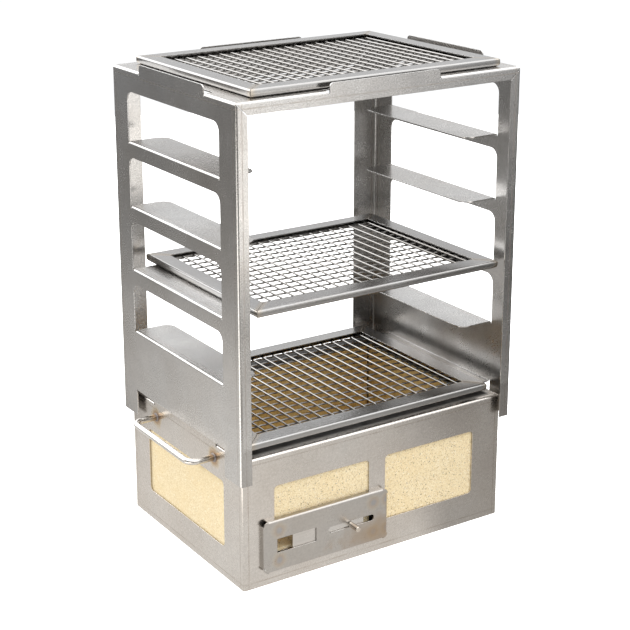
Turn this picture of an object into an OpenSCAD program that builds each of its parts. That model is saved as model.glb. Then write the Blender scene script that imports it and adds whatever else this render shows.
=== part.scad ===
// Charcoal table grill: a brick-lined steel firebox, a lift-off cooking rack and three wire grates.
// Millimetres. +X runs along the front to the right, +Y to the back, +Z up.
// The origin is the centre of the firebox's underside.

/* [Sheet metal] */
// Thickness of the firebox and rack sheet
sheet = 1.5; // [1:0.1:2]
// Outside radius of every fold
bend_r = 3; // [2.2:0.1:4]
// Width of the relief cut beside a tab or ledge
relief = 2; // [1:0.5:4]
// Width of the open mitre seam on the rack's front and back faces
seam = 0.8; // [0.2:0.1:1]

/* [Firebox] */
// Outside width of the firebox
box_w = 386; // [320:1:470]
// Outside depth of the firebox
box_d = 278; // [230:1:340]
// Height of the firebox rim
box_h = 167; // [150:1:200]
// Width of the rim folded in over the bricks
rim_w = 30; // [20:1:40]
// Height of the side tabs above the rim, which carry the rack
seat_rise = 6; // [4:0.5:12]
// Length of the central tabs on the firebox and the rack
tab_len = 155; // [100:5:200]
// Corner radius of the tabs
tab_r = 5; // [2:0.5:6]
// Height of the base tray's upturned edge
tray_edge = 15; // [8:1:25]

/* [Firebox windows] */
// Width of the upright bar between the two front windows
mullion_w = 24; // [16:1:40]
// Distance from a front window to the firebox's side
front_stile = 43.5; // [30:0.5:60]
// Distance from a side window to the firebox's front or back
side_stile = 44; // [30:0.5:60]
// Height of the windows' lower edge
window_z = 40; // [38:1:50]
// Height of the windows
window_h = 86; // [60:1:95]
// Corner radius of the windows
window_r = 5.5; // [2:0.5:12]

/* [Bricks] */
// Thickness of the wall bricks
brick_t = 30; // [20:1:40]
// Thickness of the floor brick
floor_t = 32; // [20:1:34]
// Clearance between the bricks' corners and the inside of the firebox's folds
brick_gap = 0.1; // [0.05:0.05:1]

/* [Air vent] */
// Width of the vent cover
vent_w = 180; // [150:1:190]
// Height of the vent cover
vent_h = 67; // [50:1:70]
// Depth of the vent cover's folded edges
vent_depth = 7; // [6.5:0.5:10]
// Corner radius of the vent cover
vent_r = 6.5; // [4:0.5:10]
// How far the vent cover's right edge stops short of the mullion's far side
vent_inset = 0.5; // [0.5:0.5:4]
// Height of the vent cover's lower edge
vent_z = 18; // [10:1:22]
// Width of the air hole
hole_w = 56; // [40:1:60]
// Height of the air hole
hole_h = 18; // [12:1:22]
// Distance from the vent cover's left edge to the air hole
hole_x = 18.5; // [18.5:0.5:26]
// Height of the slot that the stud runs in
slot_h = 8; // [7.5:0.1:10]
// Gap between the slot's left end and the air hole
slot_bridge = 17.5; // [12:0.5:19]
// Thickness of the slider
slider_t = 1.5; // [1:0.1:2]
// Running clearance round the slider
slider_gap = 0.3; // [0.3:0.05:0.5]
// Height of the slider
slider_h = 30; // [26:1:34]
// Travel of the slider to the left, which shuts the vent
travel_shut = 28; // [20:1:28]
// Travel of the slider to the right, which opens the vent
travel_open = 32; // [20:1:32]
// How far the slider laps over the air hole's edge when shut
lap = 5; // [3:0.5:6]
// Diameter of the stud
stud_d = 6.8; // [5:0.1:7]
// Length of the stud in front of the vent cover
stud_len = 18; // [12:1:30]
// Diameter of the stud's riveted tail
rivet_d = 4; // [3:0.1:4.5]

/* [Handles] */
// Diameter of the handle rod
rod_d = 8; // [6:0.5:10]
// Distance between the handle's two legs, centre to centre
handle_len = 146; // [110:1:160]
// Distance from the firebox's side to the middle of the handle rod
handle_reach = 33; // [27:1:45]
// Height of the middle of the handle rod
handle_z = 149; // [145:1:152]
// Bend radius of the handle at the middle of the rod
handle_r = 13; // [10:1:18]
// Height of the weld fillet round a handle leg
weld = 1.6; // [1:0.1:2.5]

/* [Rack] */
// Gap between the firebox's side and the rack's side panel
side_gap = 5.5; // [3:0.5:8]
// Gap between the firebox's front and the back of the rack's front legs
front_gap = 8; // [7:0.5:12]
// Height of the rack legs' lower ends
foot_z = 140; // [120:1:144]
// Vertical distance from one ledge to the next
ledge_pitch = 82; // [74:1:100]
// Number of windows in each side panel, each with a ledge at its foot
ledge_count = 4; // [2:1:5]
// Distance from the highest ledge to the rack's top face
top_pitch = 89.5; // [82:0.5:110]
// Width of the front leg flanges
front_flange = 15; // [12:0.5:16]
// Width of the back leg flanges
rear_flange = 36.5; // [20:0.5:45]
// Height of the front beam
front_beam_h = 15; // [12:0.5:20]
// Height of the back beam
rear_beam_h = 36.5; // [20:0.5:45]
// Width of the flanges folded in round the top
top_flange = 36; // [30:1:40]
// Height of the central tabs above the rack's top face
tab_rise = 9.5; // [6:0.5:14]

/* [Rack side windows] */
// Width of the uprights at the front and back of a side panel
side_upright = 37.5; // [30:0.5:50]
// Height of a side window above its ledge
opening_h = 62.5; // [54:0.5:66]
// Radius of a side window's upper corners
opening_r = 12; // [4:1:20]
// Depth of the ledges folded in at the windows
ledge_w = 50; // [40:1:52]
// Depth of the lowest ledge, which rests on the firebox
low_ledge_w = 35; // [30:1:50]
// Radius of a ledge's free corners
ledge_r = 14; // [4:1:20]

/* [Grates] */
// Clearance between a grate and the front leg flanges, each side
grate_side_gap = 9; // [7:0.5:12]
// Clearance between a grate and the rack's front and back, each side
grate_end_gap = 12; // [10:0.5:16]
// Height of a grate's frame
rail_h = 10; // [9:0.5:14]
// Width of the frame's top band
band_w = 22; // [16:1:26]
// Width of the frame's bottom lip
lip_w = 12; // [8:1:15]
// Thickness of the grate frame's sheet
rail_t = 1.5; // [1:0.1:2]
// Outside radius of the grate frame's folds
rail_r = 2.5; // [2:0.1:4]
// Diameter of the mesh wire
wire_d = 2.5; // [1.5:0.1:3]
// Distance from wire to wire
mesh_pitch = 16; // [10:0.5:20]
// Gap between the ends of the wires and the frame's outer wall
wire_end_gap = 1; // [0.5:0.5:3]
// Ledge that the middle grate lies on, counted up from the lowest
middle_ledge = 2; // [1:1:3]
// How far the middle grate lies to the right
middle_x = 5; // [-6:0.5:6]
// How far the middle grate lies to the back
middle_y = -5; // [-8:0.5:8]
// How far the top grate lies to the right
top_x = 2.5; // [-6:0.5:6]
// How far the bottom grate lies to the right
bottom_x = -2; // [-6:0.5:6]

/* [Hidden] */

$fn = 48;
past = 5;                                    // how far a cutting tool runs past what it cuts

steel = "silver";
dark_steel = "dimgray";
brick = "wheat";

// Firebox
inner_w = box_w - 2 * sheet;
inner_d = box_d - 2 * sheet;
front_y = -box_d / 2;
seat_z = box_h + seat_rise;
brick_z = sheet + floor_t;
brick_inset = brick_gap + (1 - sqrt(0.5)) * (bend_r - sheet);
brick_top = box_h - sheet - brick_inset;
brick_w = inner_w - 2 * brick_inset;
brick_d = inner_d - 2 * brick_inset;

// Vent: x and z of its features
vent_x1 = mullion_w / 2 - vent_inset;
vent_x0 = vent_x1 - vent_w;
vent_face_y = front_y - vent_depth;
hole_x0 = vent_x0 + hole_x;
hole_x1 = hole_x0 + hole_w;
hole_mid_z = vent_z + vent_h / 2;
slot_x0 = hole_x1 + slot_bridge;
stud_x = slot_x0 + stud_d / 2 + slider_gap + travel_shut;
slot_x1 = stud_x + travel_open + slider_gap + stud_d / 2;
slider_front_y = vent_face_y + sheet + slider_gap;
slider_x0 = hole_x0 - lap + travel_shut;
slider_x1 = vent_x1 - bend_r - slider_gap - travel_open;
guide_w = 8;
guide_lip = 4;
guide_t = 1.2;
guide_depth = slider_t + 2 * slider_gap + guide_t;
rivet_gap = 0.05;
rivet_head_t = 1.5;
rivet_head_d = rivet_d + 3;

// Rack
rack_w = box_w + 2 * (side_gap + sheet);
rack_d = box_d + 2 * (front_gap + sheet);
low_ledge_z = seat_z + sheet;
rack_z = low_ledge_z + ledge_count * ledge_pitch + top_pitch;
opening_w = rack_d - 2 * side_upright;
ledge_len = opening_w - 2 * relief;

// Grates
grate_w = rack_w - 2 * (front_flange + grate_side_gap);
grate_d = rack_d - 2 * (sheet + grate_end_gap);
mesh_w = grate_w - 2 * band_w;
mesh_d = grate_d - 2 * band_w;
wire_len_x = grate_w - 2 * (rail_t + wire_end_gap);
wire_len_y = grate_d - 2 * (rail_t + wire_end_gap);
top_pos = [top_x, 0, rack_z];
middle_pos = [middle_x, middle_y, low_ledge_z + middle_ledge * ledge_pitch];
bottom_pos = [bottom_x, 0, low_ledge_z];

function wire_count(span) = floor(span / mesh_pitch) + 1;
function ledge_z(i) = low_ledge_z + i * ledge_pitch;

// ---- Flat outlines ----

// Rectangle about the origin with all four corners rounded
module rounded_rect(w, h, r) {
    square([w - 2 * r, h], center = true);
    square([w, h - 2 * r], center = true);
    for (x = [-1, 1], y = [-1, 1])
        translate([x * (w / 2 - r), y * (h / 2 - r)]) circle(r);
}

// Rectangle from y0 to y1, centred on x, with the two upper corners rounded
module arched_rect(w, y0, y1, r) {
    translate([-w / 2, y0]) square([w, y1 - y0 - r]);
    translate([r - w / 2, y0]) square([w - 2 * r, y1 - y0]);
    for (x = [-1, 1]) translate([x * (w / 2 - r), y1 - r]) circle(r);
}

// Folded angle: one leg along +x, one along +y, the outside of the fold at the origin
module angle_section(leg_x, leg_y, t, r) {
    translate([r, 0]) square([leg_x - r, t]);
    translate([0, r]) square([t, leg_y - r]);
    translate([r, r]) intersection() {
        difference() { circle(r); circle(r - t); }
        translate([-r, -r]) square(r);
    }
}

// ---- Ways to stand an outline up ----

// Outline x to X and y to Z, thickness along Y from y0
module stand_front(y0, t) { translate([0, y0 + t, 0]) rotate([90, 0, 0]) linear_extrude(t) children(); }

// Outline x to Y and y to Z, thickness along X from x0
module stand_side(x0, t) { translate([x0, 0, 0]) rotate([90, 0, 90]) linear_extrude(t) children(); }

// ---- Folded casings ----

// Block with rounded upright edges and rounded top edges
module folded_block(w, d, z0, z1, r) {
    intersection() {
        translate([0, 0, z0]) linear_extrude(z1 - z0) rounded_rect(w, d, r);
        stand_front(-d / 2, d) arched_rect(w, z0, z1, r);
        stand_side(-w / 2, w) arched_rect(d, z0, z1, r);
    }
}

// Casing of one sheet, open below, with a flange folded in all round the top
module casing(w, d, z0, z1, flange) {
    difference() {
        folded_block(w, d, z0, z1, bend_r);
        folded_block(w - 2 * sheet, d - 2 * sheet, z0 - past, z1 - sheet, bend_r - sheet);
        translate([flange - w / 2, flange - d / 2, z1 - past])
            cube([w - 2 * flange, d - 2 * flange, 2 * past]);
    }
}

// Slot that a tab leaves in the middle of a casing's side, as deep as the tab is long
module tab_cut(edge, rise, z1) {
    translate([edge - past, -tab_len / 2 - relief, z1 - bend_r])
        cube([rise + bend_r + past, tab_len + 2 * relief, bend_r + past]);
}

// The tab itself, upright at the left edge x = edge
module tab(edge, z1, rise) {
    stand_side(edge, sheet) arched_rect(tab_len, z1 - bend_r, z1 + rise, tab_r);
}

// ---- Firebox ----

module firebox_shell() color(steel) {
    difference() {
        casing(box_w, box_d, 0, box_h, rim_w);
        for (side = [0, 180]) rotate([0, 0, side]) {
            tab_cut(-box_w / 2, seat_rise, box_h);
            front_windows();
            side_window();
        }
    }
    for (side = [0, 180]) rotate([0, 0, side]) tab(-box_w / 2, box_h, seat_rise);
}

module front_windows() {
    w = box_w / 2 - front_stile - mullion_w / 2;
    for (x = [-1, 1])
        translate([x * (mullion_w + w) / 2, 0, window_z + window_h / 2])
            stand_front(front_y - past, sheet + 2 * past - bend_r) rounded_rect(w, window_h, window_r);
}

module side_window() {
    translate([0, 0, window_z + window_h / 2])
        stand_side(-box_w / 2 - past, sheet + 2 * past - bend_r)
            rounded_rect(box_d - 2 * side_stile, window_h, window_r);
}

// Pan with upturned edges, inside the foot of the shell
module base_tray() color(dark_steel) {
    difference() {
        linear_extrude(tray_edge) rounded_rect(inner_w, inner_d, bend_r);
        translate([0, 0, sheet])
            linear_extrude(tray_edge) rounded_rect(inner_w - 2 * sheet, inner_d - 2 * sheet, bend_r - sheet);
    }
}

// ---- Bricks ----

module brick_floor() color(brick) {
    w = brick_w - 2 * sheet;
    d = brick_d - 2 * sheet;
    translate([-w / 2, -d / 2, sheet]) cube([w, d, floor_t]);
}

// End bricks stand between the side bricks
module end_brick() {
    w = brick_w - 2 * brick_t;
    translate([-w / 2, -brick_d / 2, brick_z]) cube([w, brick_t, brick_top - brick_z]);
}

module brick_front() color(brick) {
    difference() {
        end_brick();
        translate([hole_x0, front_y, hole_mid_z - hole_h / 2]) cube([hole_w, brick_t + 2 * past, hole_h]);
    }
}

module brick_rear() color(brick) rotate([0, 0, 180]) end_brick();

module brick_left() color(brick)
    translate([-brick_w / 2, -brick_d / 2, brick_z]) cube([brick_t, brick_d, brick_top - brick_z]);

module brick_right() color(brick) rotate([0, 0, 180]) brick_left();

// ---- Air vent ----

module vent_outline() {
    square([vent_w - 2 * bend_r, vent_h - 2 * bend_r], center = true);
    intersection() {
        rounded_rect(vent_w, vent_h, vent_r);
        for (x = [-1, 1], y = [-1, 1])
            translate([x * (vent_w - vent_r) / 2, y * (vent_h - vent_r) / 2]) square(vent_r, center = true);
    }
}

// One folded edge of the vent cover, along x at the lower edge; len is its length
module vent_edge(len, height) {
    translate([-len / 2, 0, -height / 2])
        rotate([90, 0, 90]) linear_extrude(len) angle_section(vent_depth, bend_r + sheet, sheet, bend_r);
}

// Shallow pan with open corners, welded to the firebox's front
module vent_cover() color(steel) {
    difference() {
        translate([(vent_x0 + vent_x1) / 2, vent_face_y, hole_mid_z]) {
            stand_front(0, sheet) vent_outline();
            for (turn = [0, 180]) rotate([0, turn, 0]) vent_edge(vent_w - 2 * vent_r, vent_h);
            for (turn = [90, 270]) rotate([0, turn, 0]) vent_edge(vent_h - 2 * vent_r, vent_w);
        }
        translate([hole_x0, vent_face_y - past, hole_mid_z - hole_h / 2]) cube([hole_w, 2 * past, hole_h]);
        stand_front(vent_face_y - past, 2 * past) slot_outline();
    }
}

module slot_outline() {
    translate([(slot_x0 + slot_x1) / 2, hole_mid_z]) rounded_rect(slot_x1 - slot_x0, slot_h, slot_h / 2 - 0.01);
}

// Stepped strip above the slider, fixed to the back of the vent cover
module vent_guide_upper() color(dark_steel) {
    x0 = vent_x0 + bend_r + slider_gap;
    len = vent_w - 2 * (bend_r + slider_gap);
    z = hole_mid_z + slider_h / 2 + slider_gap;
    y = vent_face_y + sheet;
    translate([x0, y, z]) cube([len, guide_depth, guide_w]);
    translate([x0, y + guide_depth - guide_t, z - guide_lip]) cube([len, guide_t, guide_lip]);
}

module vent_guide_lower() color(dark_steel)
    translate([0, 0, 2 * hole_mid_z]) mirror([0, 0, 1]) vent_guide_upper();

module vent_slider() color(steel) {
    difference() {
        translate([slider_x0, slider_front_y, hole_mid_z - slider_h / 2])
            cube([slider_x1 - slider_x0, slider_t, slider_h]);
        translate([stud_x, slider_front_y, hole_mid_z])
            rotate([90, 0, 0]) cylinder(d = rivet_d + 2 * rivet_gap, h = 2 * past, center = true);
    }
}

// Stud with a tail riveted over behind the slider
module slider_stud() color(steel)
    translate([stud_x, slider_front_y, hole_mid_z]) rotate([90, 0, 0]) {
        reach = stud_len + sheet + slider_gap;
        stud_edge = 0.6;
        cylinder(d = stud_d, h = reach - stud_edge);
        translate([0, 0, reach - stud_edge])
            cylinder(d1 = stud_d, d2 = stud_d - 2 * stud_edge, h = stud_edge);
        translate([0, 0, -slider_t]) cylinder(d = rivet_d, h = slider_t);
        translate([0, 0, -slider_t - rivet_head_t]) cylinder(d = rivet_head_d, h = rivet_head_t);
    }

// ---- Handles ----

// Bent round rod: two legs, two bends and the grip
module handle_left() color(steel)
    translate([-box_w / 2, 0, handle_z]) {
        leg = handle_reach - handle_r;
        half = handle_len / 2;
        for (y = [-1, 1]) translate([-leg, y * half, 0]) rotate([0, 90, 0]) cylinder(d = rod_d, h = leg);
        translate([-handle_reach, 0, 0])
            rotate([90, 0, 0]) cylinder(d = rod_d, h = handle_len - 2 * handle_r, center = true);
        for (flip = [0, 1]) mirror([0, flip, 0])
            translate([-leg, half - handle_r, 0])
                rotate([0, 0, 90]) rotate_extrude(angle = 90) translate([handle_r, 0]) circle(d = rod_d);
    }

module handle_right() color(steel) mirror([1, 0, 0]) handle_left();

// Weld fillets where the four legs meet the firebox
module handle_welds() color(dark_steel)
    for (x = [0, 1], y = [-1, 1]) mirror([x, 0, 0])
        translate([-box_w / 2, y * handle_len / 2, handle_z]) rotate([0, -90, 0]) weld_fillet();

module weld_fillet() {
    r = rod_d / 2;
    rotate_extrude() translate([r, 0]) polygon([[0, 0], [weld, 0], [0.7 * weld, 0.45 * weld], [0, weld]]);
}

// ---- Rack ----

// The whole folded casing of the rack, before it is parted at the mitres
module rack_casing() {
    difference() {
        casing(rack_w, rack_d, foot_z, rack_z, top_flange);
        rack_face_opening(-rack_d / 2, front_flange, front_beam_h);
        rack_face_opening(rack_d / 2 - sheet, rear_flange, rear_beam_h);
        for (side = [0, 180]) rotate([0, 0, side]) tab_cut(-rack_w / 2, tab_rise, rack_z);
        for (side = [90, 270]) rotate([0, 0, side]) tab_cut(-rack_d / 2, tab_rise, rack_z);
    }
}

// Opening between two legs, below the beam
module rack_face_opening(y0, flange, beam_h) {
    w = rack_w - 2 * flange;
    translate([-w / 2, y0 - past, foot_z - past])
        cube([w, sheet + 2 * past, rack_z - beam_h - foot_z + past]);
}

// Wedge that holds a front beam: mitred at 45 degrees on the face and on the top
module beam_wedge(beam_h, gap) {
    low = rack_z - beam_h - gap;
    half_low = rack_w / 2 - beam_h - gap + gap * sqrt(2);
    rise = beam_h + gap + past;
    half_top = half_low + rise;
    half_front = rack_w / 2 + past;
    half_middle = (rack_w - rack_d) / 2;
    front = -rack_d / 2 - past;
    intersection() {
        stand_front(front, -front)
            polygon([[-half_low, low], [half_low, low], [half_top, low + rise], [-half_top, low + rise]]);
        translate([0, 0, low])
            linear_extrude(rise)
                polygon([[-half_front, front], [half_front, front], [half_middle, 0], [-half_middle, 0]]);
    }
}

// Side panel: legs, four windows with ledges, the lowest ledge over the handle notch
module rack_left_panel() color(dark_steel) {
    edge = -rack_w / 2;
    difference() {
        intersection() {
            rack_casing();
            translate([edge - past, -rack_d / 2 - past, 0])
                cube([top_flange + rear_flange + past, rack_d + 2 * past, rack_z + past]);
        }
        beam_wedge(front_beam_h, seam);
        mirror([0, 1, 0]) beam_wedge(rear_beam_h, seam);
        for (i = [1 : ledge_count])
            stand_side(edge - past, sheet + 2 * past - bend_r)
                arched_rect(opening_w, ledge_z(i) - bend_r, ledge_z(i) + opening_h, opening_r);
        translate([edge - past, -opening_w / 2, foot_z - past])
            cube([sheet + 2 * past, opening_w, low_ledge_z - sheet + bend_r - foot_z + past]);
    }
    for (i = [1 : ledge_count]) translate([edge, 0, ledge_z(i)]) mirror([0, 0, 1]) ledge(ledge_w);
    translate([edge, 0, low_ledge_z - sheet]) ledge(low_ledge_w);
    tab(edge, rack_z, tab_rise);
}

// Ledge folded in from an edge: the fold's outside corner is at the origin, its short leg points up
module ledge(w) {
    intersection() {
        translate([0, ledge_len / 2, 0]) rotate([90, 0, 0])
            linear_extrude(ledge_len) angle_section(w, bend_r + sheet, sheet, bend_r);
        translate([0, 0, -past]) linear_extrude(bend_r + 2 * past) rounded_rect(2 * w, ledge_len, ledge_r);
    }
}

module rack_right_panel() color(dark_steel) mirror([1, 0, 0]) rack_left_panel();

module rack_front_beam() color(steel) {
    intersection() {
        rack_casing();
        beam_wedge(front_beam_h, 0);
    }
    rotate([0, 0, 90]) tab(-rack_d / 2, rack_z, tab_rise);
}

module rack_rear_beam() color(steel) {
    intersection() {
        rack_casing();
        mirror([0, 1, 0]) beam_wedge(rear_beam_h, 0);
    }
    rotate([0, 0, -90]) tab(-rack_d / 2, rack_z, tab_rise);
}

// ---- Grates ----

// Channel section, open to the right, its outside at x = 0
module rail_section() {
    difference() {
        channel_outline(0, band_w, rail_h, rail_r);
        translate([0, rail_t]) channel_outline(rail_t, band_w + past, rail_h - 2 * rail_t, rail_r - rail_t);
        translate([lip_w, -past]) square([band_w, rail_t + 2 * past]);
    }
}

// Rectangle from x0 to x1 with its two left corners rounded
module channel_outline(x0, x1, h, r) {
    translate([x0 + r, 0]) square([x1 - x0 - r, h]);
    translate([x0, r]) square([r, h - 2 * r]);
    for (y = [r, h - r]) translate([x0 + r, y]) circle(r);
}

// One mitred rail along the edge y = -d / 2 of a frame w long
module mitred_rail(w, d) {
    intersection() {
        translate([-w / 2, -d / 2, 0]) rotate([90, 0, 90]) linear_extrude(w) rail_section();
        translate([0, 0, -past]) linear_extrude(rail_h + 2 * past)
            polygon([[-w / 2, -d / 2], [w / 2, -d / 2],
                     [w / 2 - band_w, band_w - d / 2], [band_w - w / 2, band_w - d / 2]]);
    }
}

module front_rail(pos) color(steel) translate(pos) mitred_rail(grate_w, grate_d);
module rear_rail(pos) color(steel) translate(pos) rotate([0, 0, 180]) mitred_rail(grate_w, grate_d);
module left_rail(pos) color(steel) translate(pos) rotate([0, 0, -90]) mitred_rail(grate_d, grate_w);
module right_rail(pos) color(steel) translate(pos) rotate([0, 0, 90]) mitred_rail(grate_d, grate_w);

// Wires from side to side, which lie on the frame's bottom lip
module long_wires(pos) color(steel) translate(pos) {
    n = wire_count(mesh_d);
    for (i = [0 : n - 1])
        translate([0, (i - (n - 1) / 2) * mesh_pitch, rail_t + wire_d / 2])
            rotate([0, 90, 0]) cylinder(d = wire_d, h = wire_len_x, center = true);
}

// Wires from front to back, which lie on the long wires
module cross_wires(pos) color(steel) translate(pos) {
    n = wire_count(mesh_w);
    for (i = [0 : n - 1])
        translate([(i - (n - 1) / 2) * mesh_pitch, 0, rail_t + 1.5 * wire_d])
            rotate([90, 0, 0]) cylinder(d = wire_d, h = wire_len_y, center = true);
}

firebox_shell();
base_tray();
brick_floor();
brick_front();
brick_rear();
brick_left();
brick_right();
vent_cover();
vent_guide_upper();
vent_guide_lower();
vent_slider();
slider_stud();
handle_left();
handle_right();
handle_welds();
rack_left_panel();
rack_right_panel();
rack_front_beam();
rack_rear_beam();
front_rail(top_pos);  // top_grate_front_rail
rear_rail(top_pos);  // top_grate_rear_rail
left_rail(top_pos);  // top_grate_left_rail
right_rail(top_pos);  // top_grate_right_rail
long_wires(top_pos);  // top_grate_long_wires
cross_wires(top_pos);  // top_grate_cross_wires
front_rail(middle_pos);  // middle_grate_front_rail
rear_rail(middle_pos);  // middle_grate_rear_rail
left_rail(middle_pos);  // middle_grate_left_rail
right_rail(middle_pos);  // middle_grate_right_rail
long_wires(middle_pos);  // middle_grate_long_wires
cross_wires(middle_pos);  // middle_grate_cross_wires
front_rail(bottom_pos);  // bottom_grate_front_rail
rear_rail(bottom_pos);  // bottom_grate_rear_rail
left_rail(bottom_pos);  // bottom_grate_left_rail
right_rail(bottom_pos);  // bottom_grate_right_rail
long_wires(bottom_pos);  // bottom_grate_long_wires
cross_wires(bottom_pos);  // bottom_grate_cross_wires
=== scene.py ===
"""Charcoal table grill: folded steel firebox, lift-off rack and three wire grates.

Metres throughout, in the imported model's own frame: +X to the right, +Y to the back, +Z up.
Laid out as an add-on and run as a script.
"""

import math

import bmesh
import bpy
import numpy as np
from bpy.props import FloatProperty, FloatVectorProperty, IntProperty, PointerProperty
from bpy.types import Operator, Panel, PropertyGroup
from mathutils import Matrix, Vector


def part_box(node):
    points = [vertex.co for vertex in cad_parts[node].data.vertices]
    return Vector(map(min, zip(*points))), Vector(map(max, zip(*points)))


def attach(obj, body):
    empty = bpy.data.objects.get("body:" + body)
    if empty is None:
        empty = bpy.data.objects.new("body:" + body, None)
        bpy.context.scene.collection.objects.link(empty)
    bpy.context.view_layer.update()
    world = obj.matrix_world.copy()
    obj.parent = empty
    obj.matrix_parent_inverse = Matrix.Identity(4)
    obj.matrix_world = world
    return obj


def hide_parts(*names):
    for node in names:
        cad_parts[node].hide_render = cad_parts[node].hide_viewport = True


bl_info = {
    "name": "Charcoal Table Grill",
    "version": (1, 0, 0),
    "blender": (4, 5, 0),
    "location": "3D View > Sidebar > Grill",
    "description": "Builds the grill's bricks, grates and finishes round its packed frame",
    "category": "Object",
}

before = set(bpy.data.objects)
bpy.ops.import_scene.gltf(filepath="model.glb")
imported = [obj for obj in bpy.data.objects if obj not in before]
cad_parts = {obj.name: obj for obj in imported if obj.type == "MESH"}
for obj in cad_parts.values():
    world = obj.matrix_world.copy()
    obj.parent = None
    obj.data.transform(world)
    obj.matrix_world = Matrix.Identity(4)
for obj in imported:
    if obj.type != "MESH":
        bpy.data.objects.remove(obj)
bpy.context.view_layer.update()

GRATES = ("top", "middle", "bottom")
SIDES = ("front", "right", "rear", "left")
MM = 0.001


def extent(node):
    """Lowest corner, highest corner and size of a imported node, as arrays."""
    low, high = (np.array(corner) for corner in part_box(node))
    return low, high, high - low


shell_low, shell_high, _ = extent("firebox_shell")
rack_low, rack_high, _ = extent("rack_left_panel")
tab_top = rack_high[2]
rail_size = extent("top_grate_front_rail")[2]
wire_size = extent("top_grate_cross_wires")[2]
handle_low, handle_high, handle_size = extent("handle_left")
stud_low, stud_high, stud_size = extent("slider_stud")
weld_high = extent("handle_welds")[1]


# ---- Sizes and colours ----


class SheetSettings(PropertyGroup):
    firebox_colour: FloatVectorProperty(
        name="Firebox steel", description="Colour of the firebox sheet", subtype="COLOR",
        size=3, min=0, max=1, default=(0.64, 0.61, 0.575))
    rack_colour: FloatVectorProperty(
        name="Rack steel", description="Colour of the rack sheet", subtype="COLOR",
        size=3, min=0, max=1, default=(0.58, 0.572, 0.56))
    dark_colour: FloatVectorProperty(
        name="Hidden steel", description="Colour of the tray and the slider's guides",
        subtype="COLOR", size=3, min=0, max=1, default=(0.40, 0.385, 0.365))
    mark_colour: FloatVectorProperty(
        name="Press marks", description="Colour of the marks that the folding tool leaves",
        subtype="COLOR", size=3, min=0, max=1, default=(0.30, 0.24, 0.18))
    mark_distance: FloatProperty(
        name="Mark distance", description="Distance from a fold's outside to its press mark",
        unit="LENGTH", default=7.5 * MM)
    roughness: FloatProperty(
        name="Roughness", description="Roughness of the plain sheet", min=0, max=1, default=0.25)
    # The rounding radius also places the painted highlight on the sheet edges.
    edge_round: FloatProperty(
        name="Edge rounding", description="Radius of the deburred sheet edges",
        unit="LENGTH", default=0.45 * MM)


class BrickSettings(PropertyGroup):
    clay: FloatVectorProperty(
        name="Clay", description="Colour of the clean brick", subtype="COLOR",
        size=3, min=0, max=1, default=(0.90, 0.79, 0.57))
    grog: FloatVectorProperty(
        name="Grog", description="Colour of the brown grains in the brick", subtype="COLOR",
        size=3, min=0, max=1, default=(0.30, 0.19, 0.09))
    # Painted shade: this colour darkens and yellows the bricks' inner faces inside the firebox.
    seasoned: FloatVectorProperty(
        name="Seasoned", description="Colour that fire gives the bricks' inner faces",
        subtype="COLOR", size=3, min=0, max=1, default=(0.80, 0.69, 0.44))
    pit_depth: FloatProperty(
        name="Pit depth", description="Depth of the deepest surface pits",
        unit="LENGTH", default=0.7 * MM)
    chip: FloatProperty(
        name="Chipped edge", description="Mean radius of the bricks' worn edges",
        unit="LENGTH", default=1.3 * MM)
    cell: FloatProperty(
        name="Surface cell", description="Distance between the surface's points",
        unit="LENGTH", min=1 * MM, default=2.1 * MM)


class FrameSettings(PropertyGroup):
    band: FloatProperty(
        name="Band", description="Width of the grate frame's top band",
        unit="LENGTH", default=float(rail_size[1]))
    lip: FloatProperty(
        name="Lip", description="Width of the grate frame's bottom lip",
        unit="LENGTH", default=12 * MM)
    thickness: FloatProperty(
        name="Thickness", description="Thickness of the grate frame's sheet",
        unit="LENGTH", default=1.5 * MM)
    fold: FloatProperty(
        name="Upper fold", description="Outside radius of the fold under the top band",
        unit="LENGTH", default=2.5 * MM)
    lower_fold: FloatProperty(
        name="Lower fold", description="Outside radius of the fold over the bottom lip",
        unit="LENGTH", default=4.6 * MM)
    colour: FloatVectorProperty(
        name="Frame steel", description="Colour of the grate frames", subtype="COLOR",
        size=3, min=0, max=1, default=(0.39, 0.387, 0.382))


class MeshSettings(PropertyGroup):
    wire: FloatProperty(
        name="Wire", description="Diameter of the mesh wire",
        unit="LENGTH", default=float(wire_size[2]))
    pitch: FloatProperty(
        name="Pitch", description="Distance from wire to wire", unit="LENGTH", default=16 * MM)
    crimp: FloatProperty(
        name="Crimp", description="Height of the waves in the wires from side to side",
        unit="LENGTH", default=0.55 * MM)
    colour: FloatVectorProperty(
        name="Wire steel", description="Colour of the mesh wire", subtype="COLOR",
        size=3, min=0, max=1, default=(0.34, 0.332, 0.32))


class HandleSettings(PropertyGroup):
    rod: FloatProperty(
        name="Rod", description="Diameter of the handle rod",
        unit="LENGTH", default=float(handle_size[2]))
    bend: FloatProperty(
        name="Bend", description="Radius of the handle's bends at the rod's middle",
        unit="LENGTH", default=13 * MM)
    ripples: IntProperty(
        name="Weld ripples", description="Ripples round one weld bead", min=6, default=17)
    colour: FloatVectorProperty(
        name="Rod steel", description="Colour of the handle rod", subtype="COLOR",
        size=3, min=0, max=1, default=(0.70, 0.68, 0.65))
    tint: FloatVectorProperty(
        name="Heat tint", description="Colour that the heat of the weld leaves",
        subtype="COLOR", size=3, min=0, max=1, default=(0.42, 0.27, 0.13))


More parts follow.
